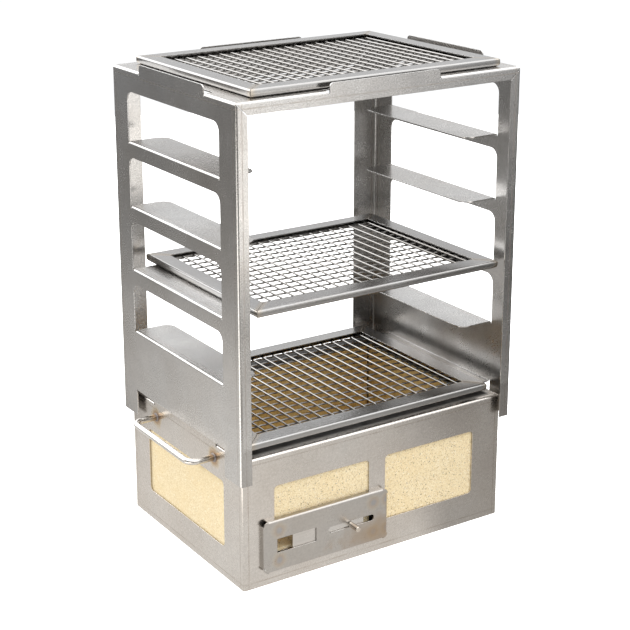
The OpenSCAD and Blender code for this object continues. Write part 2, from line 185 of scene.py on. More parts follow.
class VentSettings(PropertyGroup):
    stud_length: FloatProperty(
        name="Stud", description="Length of the stud with its riveted tail",
        unit="LENGTH", default=float(stud_size[1]))
    stud_tail: FloatProperty(
        name="Tail", description="Diameter of the stud's tail where it passes the slider",
        unit="LENGTH", default=4 * MM)
    cover_colour: FloatVectorProperty(
        name="Cover steel", description="Colour of the vent cover", subtype="COLOR",
        size=3, min=0, max=1, default=(0.47, 0.45, 0.425))
    slider_colour: FloatVectorProperty(
        name="Slider steel", description="Colour of the slider", subtype="COLOR",
        size=3, min=0, max=1, default=(0.62, 0.60, 0.575))


class StudioSettings(PropertyGroup):
    camera_place: FloatVectorProperty(
        name="Camera", description="Where the camera stands", subtype="TRANSLATION",
        unit="LENGTH", size=3, default=(-1.0337, -1.5598, 0.9214))
    camera_turn: FloatProperty(
        name="Turn", description="How far the view turns from +Y towards +X",
        subtype="ANGLE", default=0.552)
    camera_tilt: FloatProperty(
        name="Tilt", description="How far the view tilts up", subtype="ANGLE", default=-0.283)
    camera_roll: FloatProperty(
        name="Roll", description="How far the camera leans to the right", subtype="ANGLE",
        default=0.010)
    lens: FloatProperty(
        name="Lens", description="Focal length on a 36 mm wide sensor", default=88.639)
    shift: FloatVectorProperty(
        name="Shift", description="Shift of the view to the right and up, as shares of its width",
        size=2, default=(0.0794, -0.127))
    floor_colour: FloatVectorProperty(
        name="Floor", description="Colour of the floor", subtype="COLOR",
        size=3, min=0, max=1, default=(0.93, 0.93, 0.92))
    floor_radius: FloatProperty(
        name="Floor radius", description="Radius of the floor disc", unit="LENGTH", default=2.6)
    overhead: FloatProperty(
        name="Overhead light", description="Power of the soft light above, in watts", default=6.0)


# ---- Surfaces worked out with numpy ----


def grid_quads(rows, columns, wrap_rows=False, wrap_columns=False):
    """Corner numbers of the cells of a grid whose points are counted row by row."""
    r, c = np.meshgrid(np.arange(rows if wrap_rows else rows - 1),
                       np.arange(columns if wrap_columns else columns - 1), indexing="ij")
    r1, c1 = (r + 1) % rows, (c + 1) % columns
    corners = [r * columns + c, r * columns + c1, r1 * columns + c1, r1 * columns + c]
    return np.stack(corners, -1).reshape(-1, 4)


def make_piece(name, points, faces, material, sharp=35.0):
    """Puts points (n by 3) and a list of face arrays (each m by k corners) into a new object.
    The faces are turned outwards, and edges over the sharp angle in degrees are kept crisp."""
    points = np.asarray(points, np.float32).reshape(-1, 3)
    mesh = bpy.data.meshes.new(name)
    corners = np.concatenate([f.ravel() for f in faces]).astype(np.int32)
    counts = np.concatenate([np.full(len(f), f.shape[1]) for f in faces]).astype(np.int32)
    starts = np.concatenate([[0], np.cumsum(counts)[:-1]]).astype(np.int32)
    mesh.vertices.add(len(points))
    mesh.vertices.foreach_set("co", points.ravel())
    mesh.loops.add(len(corners))
    mesh.loops.foreach_set("vertex_index", corners)
    mesh.polygons.add(len(counts))
    mesh.polygons.foreach_set("loop_start", starts)
    mesh.update(calc_edges=True)
    if mesh.validate():
        raise RuntimeError(f"{name} has faces that do not hold together")
    net = bmesh.new()
    net.from_mesh(mesh)
    bmesh.ops.recalc_face_normals(net, faces=net.faces[:])
    net.to_mesh(mesh)
    net.free()
    mesh.polygons.foreach_set("use_smooth", np.ones(len(mesh.polygons), bool))
    mesh.set_sharp_from_angle(angle=math.radians(sharp))
    mesh.materials.append(material)
    piece = bpy.data.objects.new(name, mesh)
    bpy.context.scene.collection.objects.link(piece)
    return piece


def hand_over(piece, body, slot, *nodes):
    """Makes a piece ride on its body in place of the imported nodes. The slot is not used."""
    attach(piece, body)
    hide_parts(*nodes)


def soft_noise(u, v, cell, seed):
    """Random heights from 0 to 1 on a square lattice, joined both ways by 3t^2 - 2t^3."""
    across, along = (w / cell - np.floor(w.min() / cell) for w in (u, v))
    i, j = np.floor(across).astype(int), np.floor(along).astype(int)
    lattice = np.random.default_rng(seed).random((i.max() + 2, j.max() + 2))
    s, t = (f * f * (3 - 2 * f) for f in (across - i, along - j))
    near = lattice[i, j] * (1 - s) + lattice[i + 1, j] * s
    far = lattice[i, j + 1] * (1 - s) + lattice[i + 1, j + 1] * s
    return near * (1 - t) + far * t


def swept_rounds(paths, flat_normal, radius, sides):
    """Round rods along flat paths, all at once. At each point of a path the section is
    radius * (cos a * n + sin a * b), with b the flat's normal and n = b x tangent.
    Returns the points and the faces, with every end closed by one flat face."""
    paths = np.asarray(paths, float)
    rods, stations = paths.shape[:2]
    tangent = np.gradient(paths, axis=1)
    tangent /= np.linalg.norm(tangent, axis=-1, keepdims=True)
    b = np.broadcast_to(np.asarray(flat_normal, float), tangent.shape)
    n = np.cross(b, tangent)
    angle = np.arange(sides) * 2 * np.pi / sides
    radius = np.broadcast_to(radius, (rods, stations))[..., None, None]
    ring = np.cos(angle)[:, None] * n[..., None, :] + np.sin(angle)[:, None] * b[..., None, :]
    points = paths[..., None, :] + radius * ring
    first = np.arange(rods)[:, None, None] * stations * sides
    walls = (first + grid_quads(stations, sides, wrap_columns=True)).reshape(-1, 4)
    start = first[:, 0] + np.arange(sides)
    caps = np.concatenate([start[:, ::-1], start + (stations - 1) * sides])
    return points.reshape(-1, 3), [walls, caps]


def folded_path(corners, radii, steps):
    """A polyline in the plane with its inner corners rounded: each corner is replaced by the
    arc that touches both of its legs, drawn with the given number of steps."""
    corners = np.asarray(corners, float)
    t = np.linspace(0, 1, steps + 1)[:, None]
    parts = [corners[:1]]
    for before, here, after, radius in zip(corners, corners[1:], corners[2:], radii):
        a = (before - here) / np.linalg.norm(before - here)
        c = (after - here) / np.linalg.norm(after - here)
        half = np.arccos(np.clip(a @ c, -1, 1)) / 2
        centre = here + (a + c) / np.linalg.norm(a + c) * radius / np.sin(half)
        p, q = here + a * radius / np.tan(half), here + c * radius / np.tan(half)
        sweep = np.pi - 2 * half
        arc = (np.sin((1 - t) * sweep) * (p - centre) + np.sin(t * sweep) * (q - centre))
        parts.append(centre + arc / np.sin(sweep))
    return np.concatenate(parts + [corners[-1:]])


def sheet_section(line, thickness):
    """Closed outline of a sheet whose middle follows the line: the line moved half the
    thickness along its normal one way, and back along the other."""
    along = np.gradient(line, axis=0)
    along /= np.linalg.norm(along, axis=1, keepdims=True)
    aside = np.stack([-along[:, 1], along[:, 0]], 1) * thickness / 2
    return np.concatenate([line + aside, (line - aside)[::-1]])


def mitred_rail(section, length, depth, place, quarter, stations=25):
    """One side of a frame. A section point u inwards and z up runs along
    x = s * (length / 2 - u), s from -1 to 1, so that both ends lie in the 45 degree mitres;
    y = u - depth / 2. The rail then turns by quarters about the frame's middle."""
    s = np.linspace(-1, 1, stations)[:, None]
    u, z = section.T
    x, y = s * (length / 2 - u), np.broadcast_to(u - depth / 2, (stations, len(u)))
    turn = quarter * np.pi / 2
    points = np.stack([x * np.cos(turn) - y * np.sin(turn), x * np.sin(turn) + y * np.cos(turn),
                       np.broadcast_to(z, x.shape)], -1) + place
    count = len(u)
    i = np.arange(count // 2 - 1)
    cap = np.stack([i, i + 1, count - 2 - i, count - 1 - i], 1)
    walls = grid_quads(stations, count, wrap_columns=True)
    return points, [walls, cap, cap[:, ::-1] + (stations - 1) * count]


def brick_steps(low, high, cell, also=()):
    """Grid lines from low to high: even cells, closer ones at both ends for the worn edge,
    and lines at the places named in also."""
    near = np.array([0, 0.25, 0.7, 1.4, 2.4]) * MM
    inner = np.linspace(low + 4 * MM, high - 4 * MM, max(3, round((high - low) / cell)))
    for place in also:
        inner[np.abs(inner - place).argmin()] = place
    return np.concatenate([low + near, inner, high - near[::-1]])


def worn_brick(low, high, across, settings, seed, hole=None):
    """A pressed brick with pitted faces and worn edges, as two grids joined round the outside.
    Each grid spans the two axes other than across. A point moves inwards by
    pits: depth * clip((noise - 0.66) / 0.3) plus a slow swell, and at a distance e from the
    outline by r - sqrt(r^2 - (r - e)^2), where the radius r varies with noise along the edge.
    A hole is (low, high) corners in those two axes: its cells are left out and walled."""
    axes = [k for k in range(3) if k != across]
    lines = [brick_steps(low[k], high[k], settings.cell, () if hole is None else
                         (hole[0][n], hole[1][n])) for n, k in enumerate(axes)]
    u, v = np.meshgrid(*lines, indexing="ij")
    edge = np.minimum(np.minimum(u - low[axes[0]], high[axes[0]] - u),
                      np.minimum(v - low[axes[1]], high[axes[1]] - v))
    faces = []
    for n, (level, way) in enumerate(((low[across], 1), (high[across], -1))):
        fine = soft_noise(u, v, 3.1 * MM, seed + n)
        small = soft_noise(v, u, 6.5 * MM, seed + n + 10)
        swell = soft_noise(u, v, 45 * MM, seed + n + 20)
        radius = settings.chip * (0.35 + 2.2 * soft_noise(u + v, u - v, 16 * MM, seed + 30) ** 2)
        gap = np.clip(radius - edge, 0, None)
        worn = radius - np.sqrt(radius ** 2 - gap ** 2)
        pits = np.clip((fine - 0.66) / 0.3, 0, 1) * np.clip((small - 0.3) / 0.4, 0, 1)
        depth = settings.pit_depth * pits + 0.25 * MM * swell + np.minimum(worn, radius)
        points = np.empty(u.shape + (3,))
        points[..., axes[0]], points[..., axes[1]], points[..., across] = u, v, level + way * depth
        faces.append(points)
    rows, columns = u.shape
    cells = grid_quads(rows, columns)
    if hole is not None:
        middle_u, middle_v = (w.ravel()[cells].mean(1) for w in (u, v))
        inside = ((middle_u > hole[0][0]) & (middle_u < hole[1][0])
                  & (middle_v > hole[0][1]) & (middle_v < hole[1][1]))
        cells = cells[~inside]
    sides = np.stack([cells, np.roll(cells, -1, 1)], -1).reshape(-1, 2)
    codes = sides[:, 0] * rows * columns + sides[:, 1]
    rim = sides[~np.isin(codes, sides[:, 1] * rows * columns + sides[:, 0])]
    back = rows * columns
    walls = np.stack([rim[:, 0], rim[:, 0] + back, rim[:, 1] + back, rim[:, 1]], 1)
    points = np.stack(faces).reshape(-1, 3)
    used, renumbered = np.unique(np.concatenate([cells, walls[:, :4], cells + back]).ravel(),
                                 return_inverse=True)
    faces = renumbered.reshape(-1, 4)
    front, wall, rear = np.split(faces, [len(cells), len(cells) + len(walls)])
    return points[used], [front[:, ::-1], wall[:, ::-1], rear]


def lathed(profile, sides):
    """A turned solid: profile points (height, radius) carried round the axis, in the frame
    x = radius * cos a, y = height, z = radius * sin a, with both ends closed by flat faces."""
    angle = np.arange(sides) * 2 * np.pi / sides
    height, radius = np.asarray(profile, float).T[:, :, None]
    x, z = radius * np.cos(angle), radius * np.sin(angle)
    points = np.stack([x, np.broadcast_to(height, x.shape), z], -1)
    start = np.arange(sides)[None]
    last = start + (len(profile) - 1) * sides
    walls = grid_quads(len(profile), sides, wrap_columns=True)
    return points, [walls, start[:, ::-1], last]


def weld_ring(centre, way, radius, size, ripples, seed):
    """A weld bead round a rod's foot. Round the rod by angle a, and over the bead by angle b,
    the point lies size * (1 + ripple) * cos b from the rod's side and size * (1 + ripple) *
    sin b from the plate; ripple is a saw-like wave, ripples times round, plus slow noise.
    Inside, the ring returns through the rod, so it is closed."""
    a = np.linspace(0, 2 * np.pi, 96, endpoint=False)[:, None]
    b = np.linspace(0, np.pi / 2, 7)[None]
    rng = np.random.default_rng(seed)
    slow = sum(rng.uniform(-0.05, 0.05) * np.cos(k * a + rng.uniform(0, 6)) for k in (1, 2, 3))
    wave = (ripples * a / (2 * np.pi)) % 1
    reach = size * np.minimum(0.82 + 0.16 * np.sqrt(wave) + slow, 1)
    out, away = reach * np.cos(b) ** 0.8, reach * np.sin(b) ** 0.8
    out = np.concatenate([out, np.full_like(a, -0.6 * size), np.full_like(a, -0.6 * size)], 1)
    away = np.concatenate([away, away[:, -1:], np.zeros_like(a)], 1)
    points = np.stack([centre[0] + way * away, centre[1] + (radius + out) * np.cos(a),
                       centre[2] + (radius + out) * np.sin(a)], -1)
    return points.reshape(-1, 3), grid_quads(96, out.shape[1], True, True)


# ---- Finishes ----


class Net:
    """Short ways to add nodes to one node tree and to join them."""

    def __init__(self, tree):
        self.tree = tree

    def put(self, socket, value):
        """Links a socket to an output, or sets it to a value."""
        if isinstance(value, bpy.types.NodeSocket):
            self.tree.links.new(value, socket)
        elif socket.type == "RGBA" and len(value) == 3:
            socket.default_value = (*value, 1)
        else:
            socket.default_value = value

    def add(self, kind, inputs=None, **settings):
        """A shader node of that kind with its settings, and inputs by name or number."""
        node = self.tree.nodes.new("ShaderNode" + kind)
        for key, value in settings.items():
            setattr(node, key, value)
        for key, value in (inputs or {}).items():
            self.put(node.inputs[key], value)
        return node

    def sum(self, how, *values, clamp=False):
        """One arithmetic step on up to three values."""
        inputs = dict(enumerate(values))
        return self.add("Math", inputs, operation=how, use_clamp=clamp).outputs[0]

    def plus(self, *values, clamp=False):
        """Two values added."""
        return self.sum("ADD", *values, clamp=clamp)

    def less(self, *values, clamp=False):
        """The second value taken from the first."""
        return self.sum("SUBTRACT", *values, clamp=clamp)

    def times(self, *values, clamp=False):
        """Two values multiplied."""
        return self.sum("MULTIPLY", *values, clamp=clamp)

    def most(self, *values, clamp=False):
        """The greater of two values."""
        return self.sum("MAXIMUM", *values, clamp=clamp)

    def span(self, value, low, high, to_low=0.0, to_high=1.0, smooth=False):
        """Value carried from one range to another and held at the ends."""
        return self.add("MapRange", {0: value, 1: low, 2: high, 3: to_low, 4: to_high},
                        interpolation_type="SMOOTHSTEP" if smooth else "LINEAR").outputs[0]

    def blend(self, amount, first, second, how="MIX"):
        """Two colours blended by an amount."""
        node = self.add("Mix", {"Factor": amount}, data_type="RGBA", blend_type=how)
        self.put(node.inputs[6], first)
        self.put(node.inputs[7], second)
        return node.outputs[2]

    def stretch(self, vector, factors):
        """A vector scaled along each axis."""
        return self.add("VectorMath", {0: vector, 1: factors}, operation="MULTIPLY").outputs[0]

    def noise(self, vector, scale, detail=2.0, rough=0.5, factors=None):
        """Noise between 0 and 1, with scale waves to the metre."""
        if factors is not None:
            vector = self.stretch(vector, factors)
        return self.add("TexNoise", {"Vector": vector, "Scale": scale, "Detail": detail,
                                     "Roughness": rough}).outputs["Fac"]

    def split(self, vector):
        """The x, y and z of a vector."""
        return self.add("SeparateXYZ", {0: vector}).outputs


def effect(name, inputs, outputs):
    """An empty node group with named inputs, (name, kind, default), and named outputs.
    Returns the group, its net, its input sockets by name and a way to set each output."""
    group = bpy.data.node_groups.new(name, "ShaderNodeTree")
    for label, kind, default in inputs:
        socket = group.interface.new_socket(label, in_out="INPUT", socket_type="NodeSocket" + kind)
        if default is not None:
            socket.default_value = default
    for label, kind in outputs:
        group.interface.new_socket(label, in_out="OUTPUT", socket_type="NodeSocket" + kind)
    net = Net(group)
    given = group.nodes.new("NodeGroupInput").outputs
    out = group.nodes.new("NodeGroupOutput")
    return group, net, given, lambda label, value: net.put(out.inputs[label], value)


def mill_grain():
    """Rolled stainless sheet: fine lines along the rolling, a mottled grain and slow clouds."""
    group, net, given, give = effect(
        "Mill grain",
        [("Position", "Vector", None), ("Rolling", "Vector", (30, 900, 900)),
         ("Grain size", "Float", 330.0), ("Mottle", "Float", 0.6)],
        [("Tone", "Float"), ("Cloud", "Float"), ("Roughness", "Float"), ("Height", "Float")])
    place = given["Position"]
    lines = net.noise(net.stretch(place, given["Rolling"]), 1.0, 3.0, 0.6)
    mottle = net.noise(place, given["Grain size"], 3.0, 0.65)
    blotch = net.noise(place, 95.0, 2.0, 0.5)
    cloud = net.noise(place, 9.0, 3.0, 0.55)
    sharp_mottle = net.span(mottle, 0.3, 0.7)
    tone = net.plus(net.times(sharp_mottle, given["Mottle"]),
                    net.times(lines, net.less(1.0, given["Mottle"])))
    tone = net.plus(net.times(tone, 0.62), net.times(blotch, 0.16))
    tone = net.plus(tone, net.times(net.span(cloud, 0.3, 0.7), 0.22), clamp=True)
    give("Tone", tone)
    give("Cloud", net.span(net.noise(place, 6.5, 4.0, 0.6), 0.32, 0.68))
    worn = net.span(net.noise(place, 21.0, 4.0, 0.6), 0.35, 0.68)
    rough = net.plus(net.times(sharp_mottle, 0.45),
                     net.times(worn, 0.55))
    give("Roughness", rough)
    give("Height", net.plus(net.times(lines, 0.35),
                            net.times(mottle, 0.65)))
    return group


def press_marks():
    """Faint lines beside the folds of a box that is centred on the z axis: a line where
    |x|, |y| or z lies the mark distance inside the box's side or top."""
    group, net, given, give = effect(
        "Press marks",
        [("Position", "Vector", None), ("Half width", "Float", 0.2), ("Half depth", "Float", 0.15),
         ("Top", "Float", 0.5), ("Foot", "Float", -1.0), ("Distance", "Float", 0.0075),
         ("Line", "Float", 0.0007)],
        [("Mask", "Float")])
    x, y, z = net.split(given["Position"])
    marks = []
    for value, limit, sign in ((net.sum("ABSOLUTE", x), "Half width", "SUBTRACT"),
                               (net.sum("ABSOLUTE", y), "Half depth", "SUBTRACT"),
                               (z, "Top", "SUBTRACT"), (z, "Foot", "ADD")):
        target = net.sum(sign, given[limit], given["Distance"])
        off = net.sum("ABSOLUTE", net.less(value, target))
        marks.append(net.span(net.sum("DIVIDE", off, given["Line"]), 0.4, 1.6, 1.0, 0.0, True))
    mask = net.most(net.most(marks[0], marks[1]),
                    net.most(marks[2], marks[3]))
    patchy = net.span(net.noise(given["Position"], 55.0, 3.0), 0.3, 0.62, 0.25, 1.0)
    give("Mask", net.times(mask, patchy))
    return group


def rounded_edge_highlight():
    """Painted highlight on rounded edges: the mask grows where the rounded normal leaves the flat
    one.
    """
    group, net, given, give = effect(
        "Rounded edge highlight", [("Position", "Vector", None), ("Radius", "Float", 0.0004)],
        [("Mask", "Float"), ("Normal", "Vector")])
    soft = net.add("Bevel", {"Radius": given["Radius"]}, samples=4).outputs[0]
    flat = net.add("NewGeometry").outputs["Normal"]
    turn = net.add("VectorMath", {0: soft, 1: flat}, operation="DOT_PRODUCT").outputs["Value"]
    glint_breakup = net.span(net.noise(given["Position"], 160.0, 2.0), 0.25, 0.6, 0.5, 1.0)
    give("Mask", net.times(net.span(turn, 0.995, 0.85), glint_breakup))
    give("Normal", soft)
    return group


def heat_tint():
    """Oxide colours round a spot: straw far out, then bronze, then blue-grey at the middle."""
    group, net, given, give = effect(
        "Heat tint",
        [("Position", "Vector", None), ("Centre", "Vector", (0, 0, 0)), ("Reach", "Float", 0.02),
         ("Bronze", "Color", (0.42, 0.27, 0.13, 1))],
        [("Colour", "Color"), ("Mask", "Float")])
    folded = net.add("VectorMath", {0: given["Position"]}, operation="ABSOLUTE").outputs[0]
    away = net.add("VectorMath", {0: folded, 1: given["Centre"]}, operation="DISTANCE")
    wobble = net.span(net.noise(given["Position"], 130.0, 3.0), 0.0, 1.0, 0.7, 1.3)
    near = net.sum("DIVIDE", net.times(away.outputs["Value"], wobble), given["Reach"])
    inner = net.blend(net.span(near, 0.18, 0.42), (0.22, 0.24, 0.30), given["Bronze"])
    give("Colour", net.blend(net.span(near, 0.45, 0.8), inner, (0.66, 0.52, 0.30)))
    give("Mask", net.span(near, 0.35, 1.0, 0.85, 0.0, True))
    return group


def fired_clay():
    """Pressed fireclay: a sandy body with brown and grey grog grains and dark open pores."""
    group, net, given, give = effect(
        "Fired clay",
        [("Position", "Vector", None), ("Clay", "Color", (0.87, 0.74, 0.52, 1)),
         ("Grog", "Color", (0.3, 0.19, 0.09, 1))],
        [("Colour", "Color"), ("Roughness", "Float"), ("Height", "Float")])
    place = given["Position"]
    sand = net.noise(place, 520.0, 3.0, 0.7)
    cloud = net.noise(place, 18.0, 3.0)
    body = net.blend(net.span(sand, 0.36, 0.64), given["Clay"],
                     net.blend(1.0, given["Clay"], (0.80, 0.72, 0.56), "MULTIPLY"))
    body = net.blend(net.span(cloud, 0.35, 0.7, 0.0, 0.35), body,
                     net.blend(1.0, given["Clay"], (0.93, 0.83, 0.64), "MULTIPLY"))
    masks = []
    for scale, share in ((620.0, 0.34), (400.0, 0.10)):
        cells = net.add("TexVoronoi", {"Vector": place, "Scale": scale, "Randomness": 1.0})
        chosen = net.sum("LESS_THAN", net.split(cells.outputs["Color"])[0], share)
        core = net.span(cells.outputs["Distance"], 0.18, 0.42, 1.0, 0.0)
        masks.append(net.times(chosen, core))
    pale = net.add("TexVoronoi", {"Vector": place, "Scale": 330.0, "Randomness": 1.0})
    pale_core = net.times(net.sum("LESS_THAN", net.split(pale.outputs["Color"])[1], 0.13),
                          net.span(pale.outputs["Distance"], 0.2, 0.45, 0.55, 0.0))
    body = net.blend(pale_core, body, (0.93, 0.88, 0.76))
    body = net.blend(net.times(masks[0], 0.8), body, given["Grog"])
    body = net.blend(net.times(masks[1], 0.8), body, (0.20, 0.15, 0.095))
    give("Colour", body)
    give("Roughness", net.span(sand, 0.3, 0.7, 0.82, 0.98))
    pores = net.most(masks[0], masks[1])
    give("Height", net.less(sand, pores))
    return group


def fire_stain():
    """A brown smear that grows towards one side of a place, broken up by noise."""
    group, net, given, give = effect(
        "Fire stain",
        [("Position", "Vector", None), ("Centre", "Vector", (0, 0, 0)), ("Reach", "Float", 0.03)],
        [("Mask", "Float")])
    squeezed = net.stretch(net.add("VectorMath", {0: given["Position"], 1: given["Centre"]},
                                   operation="SUBTRACT").outputs[0], (0.45, 1.0, 1.0))
    away = net.add("VectorMath", {0: squeezed}, operation="LENGTH").outputs["Value"]
    ragged = net.span(net.noise(given["Position"], 60.0, 4.0, 0.7), 0.3, 0.7, 0.55, 1.45)
    near = net.sum("DIVIDE", net.times(away, ragged), given["Reach"])
    give("Mask", net.span(near, 0.1, 1.0, 1.0, 0.0, True))
    return group


def shared(maker):
    """The node group that a maker builds, made once and then used again."""
    name = maker.__name__.replace("_", " ").capitalize()
    return bpy.data.node_groups.get(name) or maker()


def place_effect(net, maker, **values):
    """Puts a shared effect into a material with its own values. Names use _ for spaces."""
    node = net.add("Group")
    node.node_tree = shared(maker)
    for key, value in values.items():
        net.put(node.inputs[key.replace("_", " ")], value)
    return node.outputs


def start_material(name):
    """A new material with a Principled surface. Returns it, its net, the surface and place."""
    material = bpy.data.materials.new(name)
    material.use_nodes = True
    net = Net(material.node_tree)
    surface = material.node_tree.nodes["Principled BSDF"]
    place = net.add("TexCoord").outputs["Object"]
    return material, net, surface, place


def steel(name, colour, roughness, rolling, mottle=0.6, contrast=0.2, spread=0.16, grain=330.0,
          bump=0.04, edge=None, folds=None, mark=None, tint=None, stain=None, seams=None,
          grate_shadow=None, wall_shade=None, faint=()):
    """Stainless steel. The colour swings by contrast about its value with the mill grain, and
    the roughness by spread. edge is a rounding radius that also places a painted highlight on
    the edges, folds the press marks' box, tint a heat tint's (centre, reach, colour), stain a
    smear's (centre, reach), and seams a frame's (middle, half width, half depth) whose mitres
    carry a ground weld. grate_shadow is a rim's (clean y, black y, clean x): painted shadow
    under a grate on the rim's inner part. wall_shade is painted shade on a rack's inner walls,
    (wall x, darkest below z, gone above z), and faint holds weak heat tints."""
    material, net, surface, place = start_material(name)
    grain_out = place_effect(net, mill_grain, Position=place, Rolling=rolling, Mottle=mottle,
                             Grain_size=grain)
    low, high = (tuple(min(c * (1 + s * contrast), 1) for c in colour) for s in (-1, 1))
    shade = net.blend(grain_out["Tone"], low, high)
    shade = net.blend(net.span(grain_out["Cloud"], 0, 1, 0.0, 0.8), shade,
                      net.blend(1.0, shade, (0.90, 0.865, 0.83), "MULTIPLY"))
    rough = net.span(grain_out["Roughness"], 0, 1, roughness - spread / 2, roughness + spread / 2)
    surface.inputs["Metallic"].default_value = 1.0
    normal = None
    if folds is not None:
        half_width, half_depth, top, foot, distance = folds
        mask = place_effect(net, press_marks, Position=place, Half_width=half_width,
                            Half_depth=half_depth, Top=top, Foot=foot, Distance=distance)["Mask"]
        shade = net.blend(net.times(mask, 0.42), shade, mark)
        rough = net.plus(rough, net.times(mask, 0.08))
    if seams is not None:
        middle, half_width, half_depth = seams
        x, y, _ = net.split(net.add("VectorMath", {0: place, 1: middle},
                                    operation="SUBTRACT").outputs[0])
        from_side = net.less(half_width, net.sum("ABSOLUTE", x))
        from_end = net.less(half_depth, net.sum("ABSOLUTE", y))
        off = net.sum("ABSOLUTE", net.less(from_side, from_end))
        line = net.span(off, 0.0004, 0.0011, 1.0, 0.0, True)
        halo = net.span(off, 0.001, 0.010, 0.35, 0.0, True)
        shade = net.blend(halo, shade, (0.50, 0.40, 0.27))
        shade = net.blend(net.times(line, 0.8), shade, (0.10, 0.085, 0.07))
        rough = net.plus(rough, net.times(line, 0.3), clamp=True)
    # Painted shadow under the grate: on the rim's top, inward of the front fold, over the rear
    # half and clear of the ends, the steel turns near black, rougher and no longer metal.
    if grate_shadow is not None:
        x, y, z = net.split(net.add("VectorMath", {0: place}, operation="ABSOLUTE").outputs[0])
        inward = net.most(net.span(y, grate_shadow[0], grate_shadow[1], 0.0, 1.0, True),
                          net.span(net.split(place)[1], 0.0, 0.01))
        ends = net.span(x, grate_shadow[2] + 0.008, grate_shadow[2], 0.0, 1.0, True)
        level = net.span(z, shell_high[2] - 0.009, shell_high[2] - 0.0078, 0.0, 1.0)
        painted_shade = net.times(net.times(inward, ends), level)
        painted_shade = net.times(painted_shade,
                          net.span(net.noise(place, 45.0, 3.0), 0.2, 0.6, 0.9, 1.0))
        shade = net.blend(painted_shade, shade, (0.022, 0.019, 0.016))
        rough = net.plus(rough, net.times(painted_shade, 0.5), clamp=True)
        net.put(surface.inputs["Metallic"], net.less(1.0, painted_shade, clamp=True))
    # Painted shade inside the rack: the inner walls darken from high up to fullest lower down, and
    # all inner sheet below just above the firebox darkens too, broken up by noise.
    if wall_shade is not None:
        x, _, z = net.split(net.add("VectorMath", {0: place}, operation="ABSOLUTE").outputs[0])
        wall = net.times(net.span(x, wall_shade[0], wall_shade[0] - 0.0004),
                         net.span(x, wall_shade[0] - 0.003, wall_shade[0] - 0.002))
        low = net.times(net.span(x, wall_shade[0], wall_shade[0] - 0.0004),
                        net.span(z, wall_shade[1] - 0.045, wall_shade[1] - 0.05))
        wall_fade = net.times(wall, net.span(z, wall_shade[2], wall_shade[1], 0, 1, True))
        painted_shade = net.most(wall_fade, low)
        painted_shade = net.times(painted_shade,
                          net.span(net.noise(place, 14.0, 3.0), 0.3, 0.7, 0.2, 0.5))
        shade = net.blend(painted_shade, shade, (0.10, 0.08, 0.06))
        rough = net.plus(rough, net.times(painted_shade, 0.15), clamp=True)
    spots = [(item, 1.0) for item in tint or ()] + [(item, 0.35) for item in faint]
    for (centre, reach, bronze), share in spots:
        heat = place_effect(net, heat_tint, Position=place, Centre=centre, Reach=reach,
                            Bronze=(*bronze, 1))
        shade = net.blend(net.times(heat["Mask"], share), shade, heat["Colour"])
    if stain is not None:
        smear = place_effect(net, fire_stain, Position=place, Centre=stain[0], Reach=stain[1])
        shade = net.blend(net.times(smear["Mask"], 0.55), shade, (0.36, 0.25, 0.15))
    # Painted highlight on rounded sheet edges: the colour turns towards near white there, with a
    # little less roughness and the rounded normal.
    if edge is not None:
        edge_glint = place_effect(net, rounded_edge_highlight, Position=place, Radius=edge)
        shade = net.blend(net.times(edge_glint["Mask"], 0.6), shade, (0.93, 0.92, 0.90))
        rough = net.less(rough, net.times(edge_glint["Mask"], 0.1), clamp=True)
        normal = edge_glint["Normal"]
    net.put(surface.inputs["Base Color"], shade)
    net.put(surface.inputs["Roughness"], rough)
    bumps = net.add("Bump", {"Strength": bump, "Distance": 0.0004, "Height": grain_out["Height"]})
    if normal is not None:
        net.put(bumps.inputs["Normal"], normal)
    net.put(surface.inputs["Normal"], bumps.outputs[0])
    return material


def dress(node, material):
    """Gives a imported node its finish."""
    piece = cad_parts[node]
    if not piece.material_slots:
        piece.data.materials.append(material)
    for held in piece.material_slots:
        held.material = material


# ---- Pieces ----


